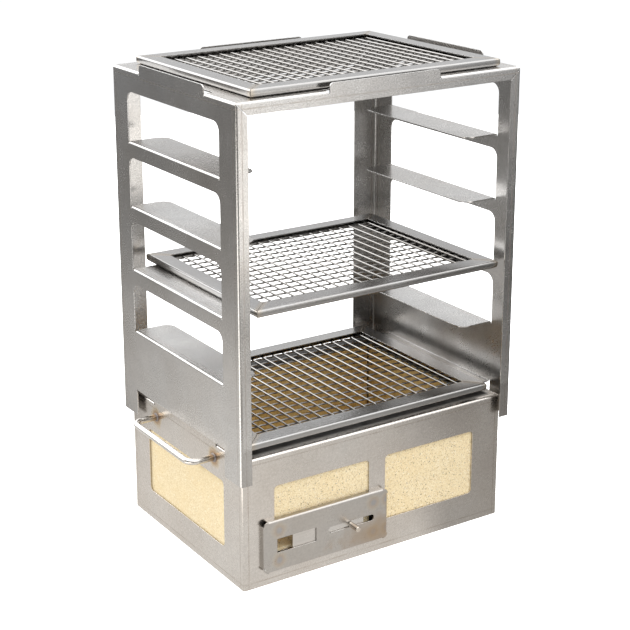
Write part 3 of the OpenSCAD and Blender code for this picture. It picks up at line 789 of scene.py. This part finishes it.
class GRILL_OT_sheet_metal(Operator):
    """Gives the folded sheets of the firebox, the vent and the rack their steel"""

    bl_idname = "grill.sheet_metal"
    bl_label = "Sheet metal"

    def execute(self, context):
        sheet, vent = context.scene.grill_sheet, context.scene.grill_vent
        along_x, along_y, upright = (30, 900, 900), (900, 30, 900), (900, 900, 30)
        mark, edge = tuple(sheet.mark_colour), sheet.edge_round
        weld_y = (weld_high[1] + handle_high[1]) / 2 - 4.8 * MM
        weld_z = (handle_low[2] + handle_high[2]) / 2
        bronze = tuple(context.scene.grill_handle.tint)
        # The firebox sheet carries painted shadow under the grate on its rim.
        shell = steel("Firebox sheet", tuple(sheet.firebox_colour), sheet.roughness, along_x,
                      mottle=0.55, contrast=0.24, edge=edge, mark=mark,
                      grate_shadow=(shell_high[1] - 0.004, shell_high[1] - 0.014,
                            shell_high[0] - 0.016),
                      folds=(shell_high[0], shell_high[1], shell_high[2] - 6 * MM,
                             shell_low[2], sheet.mark_distance),
                      tint=[((shell_high[0], weld_y, weld_z), 0.017, bronze)])
        wall = rack_high_x()
        # The rack's sheets carry painted shade on their inner walls.
        rolled = dict(mottle=1.0, contrast=0.34, spread=0.1, grain=600.0, bump=0.05, edge=edge,
                      mark=mark,
                      wall_shade=(wall - 1 * MM, shell_high[2] + 60 * MM, shell_high[2] + 150 * MM),
                      folds=(wall, rack_high[1], tab_top - 9.5 * MM, -1.0,
                             sheet.mark_distance))
        rack, beam = (steel(name, tuple(sheet.rack_colour), sheet.roughness, way, **rolled)
                      for name, way in (("Rack sheet", upright), ("Rack beam sheet", along_x)))
        tray = steel("Tray sheet", tuple(sheet.dark_colour), 0.5, along_y, contrast=0.2)
        cover_low, cover_high, _ = extent("vent_cover")
        inset = (cover_high - cover_low) * (0.12, 0, 0.21)
        spots = [(abs(x), abs(cover_low[1]), z) for x in (cover_low[0] + inset[0],
                                                          cover_high[0] - inset[0])
                 for z in (cover_low[2] + inset[2], cover_high[2] - inset[2])]
        cover = steel("Vent cover sheet", tuple(vent.cover_colour), 0.32, along_x, mottle=0.5,
                      contrast=0.22, edge=edge, faint=[(spot, 0.013, bronze) for spot in spots],
                      stain=((cover_high[0] - 0.022, cover_low[1], cover_low[2] + 0.012), 0.034))
        slider = steel("Slider sheet", tuple(vent.slider_colour), 0.3, along_x, mottle=0.05,
                       contrast=0.3, bump=0.15, edge=edge)
        guide = steel("Guide sheet", tuple(sheet.dark_colour), 0.45, along_x, contrast=0.2)
        for node, material in (
                ("firebox_shell", shell), ("base_tray", tray), ("vent_cover", cover),
                ("vent_guide_upper", guide), ("vent_guide_lower", guide), ("vent_slider", slider),
                ("rack_left_panel", rack), ("rack_right_panel", rack),
                ("rack_front_beam", beam), ("rack_rear_beam", beam)):
            dress(node, material)
        return {"FINISHED"}


def rack_high_x():
    """Half of the rack's outside width."""
    return -rack_low[0]


class GRILL_OT_firebricks(Operator):
    """Builds the five pitted firebricks that line the firebox"""

    bl_idname = "grill.firebricks"
    bl_label = "Firebricks"

    def execute(self, context):
        settings = context.scene.grill_brick
        material, net, surface, place = start_material("Fireclay")
        clay = place_effect(net, fired_clay, Position=place, Clay=(*settings.clay, 1),
                            Grog=(*settings.grog, 1))
        x, y, _ = net.split(net.add("VectorMath", {0: place}, operation="ABSOLUTE").outputs[0])
        left_high, front_high = extent("brick_left")[1], extent("brick_front")[1]
        inside = net.times(net.span(x, -left_high[0] + MM, -left_high[0] + 2 * MM, 1.0, 0.0),
                           net.span(y, -front_high[1] + MM, -front_high[1] + 2 * MM, 1.0, 0.0))
        # Painted shade on the bricks' inner faces: the inner shade colour is multiplied in where
        # the inside mask holds, broken up by noise.
        shade_breakup = net.span(net.noise(place, 30.0, 4.0), 0.3, 0.7, 0.8, 1.0)
        corner = net.sum("MINIMUM", net.plus(x, left_high[0]), net.plus(y, front_high[1]))
        joint = net.times(inside, net.span(corner, -2.2 * MM, -0.8 * MM, 0.0, 0.9))
        clay_in_shade = net.blend(1.0, clay["Colour"], tuple(settings.seasoned), "MULTIPLY")
        shaded_body = net.blend(net.times(inside, shade_breakup), clay["Colour"], clay_in_shade)
        net.put(surface.inputs["Base Color"], net.blend(joint, shaded_body, (0.03, 0.022, 0.015)))
        net.put(surface.inputs["Roughness"], clay["Roughness"])
        bumps = net.add("Bump", {"Strength": 0.5, "Distance": 0.0006, "Height": clay["Height"]})
        net.put(surface.inputs["Normal"], bumps.outputs[0])
        surface.inputs["Specular IOR Level"].default_value = 0.25
        hole_low, hole_high = self.air_channel()
        for seed, (side, across) in enumerate(
                (("floor", 2), ("front", 1), ("rear", 1), ("left", 0), ("right", 0))):
            low, high, _ = extent("brick_" + side)
            hole = None
            if side == "front":
                hole = (hole_low, hole_high)
            points, faces = worn_brick(low, high, across, settings, 100 * seed + 7, hole)
            piece = make_piece("firebrick_" + side, points, faces, material, sharp=40)
            hand_over(piece, "firebox", "firebrick", "brick_" + side)
        return {"FINISHED"}

    @staticmethod
    def air_channel():
        """Lower and upper corner, in x and z, of the channel through the front brick."""
        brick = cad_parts["brick_front"].data
        points = np.empty(len(brick.vertices) * 3)
        brick.vertices.foreach_get("co", points)
        x, _, z = points.reshape(-1, 3).T
        inside = (x > x.min() + MM) & (x < x.max() - MM) & (z > z.min() + MM) & (z < z.max() - MM)
        if not inside.any():
            raise RuntimeError("the front brick has no air channel")
        return ((x[inside].min(), z[inside].min()), (x[inside].max(), z[inside].max()))


def grate_box(grate):
    """Middle of a grate's underside, its width and its depth."""
    lows, highs = zip(*(extent(f"{grate}_grate_{side}_rail")[:2] for side in SIDES))
    low, high = np.min(lows, 0), np.max(highs, 0)
    middle = (low + high) / 2
    return np.array([middle[0], middle[1], low[2]]), high[0] - low[0], high[1] - low[1]


class GRILL_OT_grate_frames(Operator):
    """Builds the mitred channel rails of the three grates"""

    bl_idname = "grill.grate_frames"
    bl_label = "Grate frames"

    def execute(self, context):
        settings = context.scene.grill_frame
        half, height = settings.thickness / 2, float(rail_size[2])
        line = folded_path([(settings.lip, half), (half, half), (half, height - half),
                            (settings.band, height - half)],
                           [settings.lower_fold - half, settings.fold - half], 10)
        section = sheet_section(line, settings.thickness)
        for grate in GRATES:
            place, width, depth = grate_box(grate)
            materials = [steel(
                f"Grate frame {way} {grate}", tuple(settings.colour), 0.25, rolling, mottle=0.12,
                contrast=0.16, spread=0.06, bump=0.012, edge=0.3 * MM,
                seams=(tuple(place), width / 2, depth / 2))
                for way, rolling in (("across", (25, 800, 800)), ("deep", (800, 25, 800)))]
            for quarter, side in enumerate(SIDES):
                length, reach = (width, depth) if quarter % 2 == 0 else (depth, width)
                points, faces = mitred_rail(section, length, reach, place, quarter)
                piece = make_piece(f"{grate}_frame_{side}", points, faces, materials[quarter % 2])
                hand_over(piece, grate + "_grate", "grate_sheet", f"{grate}_grate_{side}_rail")
        return {"FINISHED"}


class GRILL_OT_wire_mesh(Operator):
    """Weaves the crimped wires of the three grates"""

    bl_idname = "grill.wire_mesh"
    bl_label = "Wire mesh"

    def execute(self, context):
        settings = context.scene.grill_mesh
        # The crimped wires get a darker copy of the wire steel: painted shade for the wires that
        # run under the straight ones.
        materials = [steel(name, tuple(c * share for c in settings.colour), rough,
                           (900, 900, 900), mottle=0.5, contrast=0.2, spread=0.12)
                     for name, share, rough in (("Crimped wire", 0.72, 0.3),
                                                ("Straight wire", 1.0, 0.24))]
        for grate in GRATES:
            for kind, node, axis, crimp in (("side", "long_wires", 0, settings.crimp),
                                            ("depth", "cross_wires", 1, 0.0)):
                node = f"{grate}_grate_{node}"
                paths = self.crimped(node, f"{grate}_grate_cross_wires", axis, crimp, settings)
                flat = (0, 1, 0) if axis == 0 else (1, 0, 0)
                points, faces = swept_rounds(paths, flat, settings.wire / 2, 8)
                piece = make_piece(f"{grate}_mesh_{kind}_wires", points, faces,
                                   materials[axis], 60)
                hand_over(piece, grate + "_grate", "mesh_wire", node)
        return {"FINISHED"}

    @staticmethod
    def crimped(node, crossed, axis, crimp, settings):
        """Middle lines of one set of wires. Along a wire, at a distance s from the first
        crossing, the height is low + crimp * (1 - cos(2 pi s / pitch)) / 2, so that the wire
        dips under every wire it meets and rises between them."""
        low, high, size = extent(node)
        side = 1 - axis
        count = round((size[side] - settings.wire) / settings.pitch) + 1
        stations = round(size[axis] / settings.pitch * (10 if crimp else 2)) + 1
        along = np.linspace(low[axis], high[axis], stations)[None]
        first = extent(crossed)[0][axis] + settings.wire / 2
        paths = np.empty((count, stations, 3))
        paths[..., axis] = along
        paths[..., side] = (low[side] + settings.wire / 2
                            + settings.pitch * np.arange(count)[:, None])
        rise = (1 - np.cos(2 * np.pi * (along - first) / settings.pitch)) / 2
        paths[..., 2] = low[2] + settings.wire / 2 + crimp * rise
        return paths


class GRILL_OT_handles(Operator):
    """Bends the two handle rods"""

    bl_idname = "grill.handles"
    bl_label = "Handles"

    def execute(self, context):
        settings = context.scene.grill_handle
        radius = settings.rod / 2
        half = handle_high[1] - radius
        height = (handle_low[2] + handle_high[2]) / 2
        for way, side in ((-1, "left"), (1, "right")):
            low, high, _ = extent("handle_" + side)
            foot = way * min(abs(low[0]), abs(high[0]))
            grip = way * (max(abs(low[0]), abs(high[0])) - radius)
            outline = folded_path([(foot, -half), (grip, -half), (grip, half), (foot, half)],
                                  [settings.bend] * 2, 14)
            path = np.column_stack([outline, np.full(len(outline), height)])
            material = steel(
                "Handle rod " + side, tuple(settings.colour), 0.24, (500, 90, 500), mottle=0.4,
                contrast=0.18, bump=0.08,
                tint=[((abs(foot), half, height), 0.016, tuple(settings.tint))])
            points, faces = swept_rounds(path[None], (0, 0, 1), radius, 28)
            piece = make_piece("handle_rod_" + side, points, faces, material)
            hand_over(piece, "firebox", "round_bar", "handle_" + side)
        return {"FINISHED"}


class GRILL_OT_weld_beads(Operator):
    """Lays the rippled weld beads round the handles' feet"""

    bl_idname = "grill.weld_beads"
    bl_label = "Weld beads"

    def execute(self, context):
        settings = context.scene.grill_handle
        radius = settings.rod / 2
        half = handle_high[1] - radius
        height = (handle_low[2] + handle_high[2]) / 2
        size = weld_high[0] - shell_high[0]
        feet = [(x, y) for x in (-1, 1) for y in (-1, 1)]
        rings = [weld_ring((x * shell_high[0], y * half, height), x, radius, size,
                           settings.ripples, 31 + n) for n, (x, y) in enumerate(feet)]
        counts = np.cumsum([0] + [len(p) for p, _ in rings])
        points = np.concatenate([p for p, _ in rings])
        faces = np.concatenate([f + c for (_, f), c in zip(rings, counts)])
        material = steel("Weld metal", (0.50, 0.46, 0.40), 0.38, (900, 900, 900), mottle=0.8,
                         contrast=0.3, bump=0.3,
                         tint=[((shell_high[0], half, height), 0.02, tuple(settings.tint))])
        piece = make_piece("handle_weld_beads", points, [faces], material, 50)
        hand_over(piece, "firebox", "weld_metal", "handle_welds")
        return {"FINISHED"}


class GRILL_OT_slider_stud(Operator):
    """Turns the stud that moves the vent slider, with its riveted tail"""

    bl_idname = "grill.slider_stud"
    bl_label = "Slider stud"

    def execute(self, context):
        settings = context.scene.grill_vent
        slider_low, slider_high, _ = extent("vent_slider")
        head = stud_size[0] / 2
        tail, rivet = settings.stud_tail / 2, settings.stud_tail / 2 + 1.5 * MM
        front, back = 0.0, settings.stud_length
        step = back - (stud_high[1] - slider_low[1])
        hole = back - (stud_high[1] - slider_high[1])
        profile = np.array([
            (front, 0.35 * head), (front + 0.02 * MM, 0.7 * head),
            (front + 0.1 * MM, head - 0.7 * MM), (front + 0.3 * MM, head - 0.3 * MM),
            (front + 0.65 * MM, head - 0.05 * MM), (front + 1.0 * MM, head),
            (front + 0.35 * step, head - 0.02 * MM),
            (front + 0.7 * step, head), (step - 0.15 * MM, head), (step, head - 0.15 * MM),
            (step, tail), (hole, tail), (hole, rivet - 0.2 * MM), (hole + 0.3 * MM, rivet),
            (hole + 0.8 * MM, rivet - 0.25 * MM), (back - 0.2 * MM, 0.6 * rivet),
            (back, 0.3 * rivet)])
        points, faces = lathed(profile, 40)
        middle = (stud_low + stud_high) / 2
        points = points + np.array([middle[0], stud_low[1], middle[2]])
        material = steel("Stud bar", (0.76, 0.73, 0.68), 0.16, (900, 120, 900), mottle=0.2,
                         contrast=0.15, bump=0.05,
                         stain=((middle[0], stud_low[1] + 0.006, middle[2]), 0.012))
        piece = make_piece("stud_pin", points, faces, material, 30)
        hand_over(piece, "vent_damper", "round_bar", "slider_stud")
        return {"FINISHED"}


class GRILL_OT_studio(Operator):
    """Sets the pale floor, the soft light and the camera"""

    bl_idname = "grill.studio"
    bl_label = "Studio"

    def execute(self, context):
        settings = context.scene.grill_studio
        self.lay_floor(settings)
        self.light(context.scene, settings)
        self.aim(context.scene, settings)
        context.scene.view_settings.view_transform = "Standard"
        context.scene.view_settings.look = "None"
        return {"FINISHED"}

    @staticmethod
    def lay_floor(settings):
        """A disc just under the grill: rings at growing radii, each a circle of points."""
        rings, sides = 12, 96
        radius = settings.floor_radius * np.linspace(0.02, 1, rings)[:, None] ** 1.5
        angle = np.arange(sides) * 2 * np.pi / sides
        points = np.stack([radius * np.cos(angle), radius * np.sin(angle),
                           np.full((rings, sides), -0.2 * MM)], -1).reshape(-1, 3)
        material, net, surface, place = start_material("Studio floor")
        surface.inputs["Roughness"].default_value = 0.9
        surface.inputs["Specular IOR Level"].default_value = 0.1
        mottled = net.noise(place, 6.0, 3.0)
        colour = tuple(settings.floor_colour)
        net.put(surface.inputs["Base Color"],
                net.blend(mottled, colour, tuple(min(c * 1.02, 1) for c in colour)))
        surface.inputs["Emission Color"].default_value = (1, 1, 1, 1)
        surface.inputs["Emission Strength"].default_value = 0.62
        # Painted light: for every ray but the camera's the floor glows, with a pool round the
        # grill that fades behind and to the right, and bright cards ahead and to the left, which
        # the steel reflects. The camera sees the pale floor.
        x, y, _ = net.split(place)
        away = net.add("VectorMath", {0: place}, operation="LENGTH").outputs["Value"]
        pool = net.span(away, 0.35, 1.6, 0.92, 0.28, True)
        shore = net.most(net.span(x, -0.45, -0.25, 1.0, 0.2, True),
                         net.span(y, 0.5, 0.35))
        pool = net.times(pool, shore)
        ahead = net.times(net.span(y, -1.1, -1.55, 0.0, 1.0, True),
                          net.span(x, -0.25, 0.1, 0.0, 1.0, True))
        aside = net.sum("DIVIDE", x, net.most(net.sum("ABSOLUTE", y), 0.1))
        card = net.times(ahead, net.span(aside, 0.55, 0.74, 2.6, 0.12, True))
        pool = net.times(pool, net.span(x, -0.05, 0.9, 1.0, 0.42))
        pool = net.times(pool, net.span(aside, 0.5, 0.8, 1.0, 0.6))
        glow = net.most(pool, card)
        slope = net.sum("ABSOLUTE", net.less(net.sum("DIVIDE", y, x), 0.3))
        beside = net.times(net.span(slope, 0.3, 0.55, 1.0, 0.0, True),
                           net.span(x, -0.3, -0.5, 0.0, 2.4, True))
        glow = net.most(glow, beside)
        lit = net.add("Emission", {"Color": (1.0, 0.975, 0.94), "Strength": glow})
        seen = net.add("LightPath").outputs["Is Camera Ray"]
        mixed = net.add("MixShader", {0: seen, 1: lit.outputs[0], 2: surface.outputs[0]})
        net.put(material.node_tree.nodes["Material Output"].inputs["Surface"], mixed.outputs[0])
        mesh = bpy.data.meshes.new("studio_floor")
        quads = grid_quads(rings, sides, wrap_columns=True)[:, ::-1].tolist()
        mesh.from_pydata(points, [], [*quads, list(range(sides))])
        mesh.materials.append(material)
        floor = bpy.data.objects.new("studio_floor", mesh)
        bpy.context.scene.collection.objects.link(floor)

    @staticmethod
    def light(scene, settings):
        """A white surround that is darker to the left and right, and one soft light above."""
        world = bpy.data.worlds.new("Studio surround")
        scene.world = world
        world.use_nodes = True
        net = Net(world.node_tree)
        for node in list(world.node_tree.nodes):
            world.node_tree.nodes.remove(node)
        way = net.add("TexCoord").outputs["Generated"]
        x, y, z = net.split(way)
        up = net.span(z, 0.42, 0.58, 0.0, 1.9, True)
        banner = net.times(net.span(x, 0.15, 0.42, 2.6, 0.0, True),
                           net.span(y, 0.3, 0.55, 0.0, 1.0, True))
        banner = net.times(banner, net.span(z, 0.0, 0.12, 0.0, 1.0, True))
        up = net.most(up, banner)
        front = net.span(y, -0.1, -0.8, 0.0, 0.35, True)
        back = net.span(y, 0.1, 0.7, 0.0, 0.45, True)
        left = net.span(x, -0.05, -0.7, 1.0, 0.35, True)
        right = net.span(x, 0.6, 0.95, 1.0, 0.5, True)
        glow = net.plus(0.38, net.plus(front, back))
        glow = net.plus(net.times(net.times(glow, left), right), up)
        glow = net.times(glow, net.span(z, 0.0, -0.2, 1.0, 0.5, True))
        seen = net.add("LightPath").outputs["Is Camera Ray"]
        strength = net.plus(net.times(glow, net.less(1.0, seen)),
                            net.times(seen, 1.05))
        background = net.add("Background", {"Color": (0.985, 0.99, 1.0), "Strength": strength})
        net.put(net.add("OutputWorld").inputs["Surface"], background.outputs[0])
        for name, place, aim, size, power in (
                ("overhead", (-0.2, -0.5, 2.2), (0, 0, 0.3), (1.6, 1.4), settings.overhead),
                ("front", (0.9, -2.2, 0.9), (0, 0, 0.3), (1.2, 1.6), 6.0)):
            lamp = bpy.data.lights.new("studio_" + name, "AREA")
            lamp.shape = "RECTANGLE"
            lamp.size, lamp.size_y = size
            lamp.energy = power
            holder = bpy.data.objects.new("studio_" + name, lamp)
            holder.location = place
            way = Vector(aim) - Vector(place)
            holder.rotation_euler = way.to_track_quat("-Z", "Y").to_euler()
            scene.collection.objects.link(holder)

    @staticmethod
    def aim(scene, settings):
        """The camera looks along (sin turn cos tilt, cos turn cos tilt, sin tilt)."""
        camera = bpy.data.cameras.new("studio_camera")
        camera.sensor_width, camera.lens = 36.0, settings.lens
        camera.shift_x, camera.shift_y = settings.shift
        camera.clip_start, camera.clip_end = 0.05, 50.0
        turn, tilt = settings.camera_turn, settings.camera_tilt
        ahead = Vector((math.sin(turn) * math.cos(tilt), math.cos(turn) * math.cos(tilt),
                        math.sin(tilt)))
        right = Vector((math.cos(turn), -math.sin(turn), 0))
        above = right.cross(ahead)
        lean = Matrix.Rotation(settings.camera_roll, 3, ahead)
        right, above = lean @ right, lean @ above
        turned = Matrix((right, above, -ahead)).transposed().to_4x4()
        holder = bpy.data.objects.new("studio_camera", camera)
        holder.matrix_world = Matrix.Translation(settings.camera_place) @ turned
        scene.collection.objects.link(holder)
        scene.camera = holder


# ---- The add-on ----

STEPS = (GRILL_OT_sheet_metal, GRILL_OT_firebricks, GRILL_OT_grate_frames, GRILL_OT_wire_mesh,
         GRILL_OT_handles, GRILL_OT_weld_beads, GRILL_OT_slider_stud, GRILL_OT_studio)
SETTINGS = {"grill_sheet": SheetSettings, "grill_brick": BrickSettings,
            "grill_frame": FrameSettings, "grill_mesh": MeshSettings,
            "grill_handle": HandleSettings, "grill_vent": VentSettings,
            "grill_studio": StudioSettings}


class GRILL_PT_panel(Panel):
    """The grill's pieces and their settings"""

    bl_idname = "GRILL_PT_panel"
    bl_label = "Charcoal Table Grill"
    bl_space_type = "VIEW_3D"
    bl_region_type = "UI"
    bl_category = "Grill"

    def draw(self, context):
        for step in STEPS:
            self.layout.operator(step.bl_idname)
        for name, group in SETTINGS.items():
            box = self.layout.box()
            for key in group.__annotations__:
                box.prop(getattr(context.scene, name), key)


def register():
    for group in SETTINGS.values():
        bpy.utils.register_class(group)
    for name, group in SETTINGS.items():
        setattr(bpy.types.Scene, name, PointerProperty(type=group))
    for item in (*STEPS, GRILL_PT_panel):
        bpy.utils.register_class(item)


def unregister():
    for item in (GRILL_PT_panel, *reversed(STEPS)):
        bpy.utils.unregister_class(item)
    for name in SETTINGS:
        delattr(bpy.types.Scene, name)
    for group in reversed(SETTINGS.values()):
        bpy.utils.unregister_class(group)


def main():
    """Builds everything in order."""
    register()
    for step in STEPS:
        group, action = step.bl_idname.split(".")
        getattr(getattr(bpy.ops, group), action)()
    bpy.context.view_layer.update()


if __name__ == "__main__":
    main()
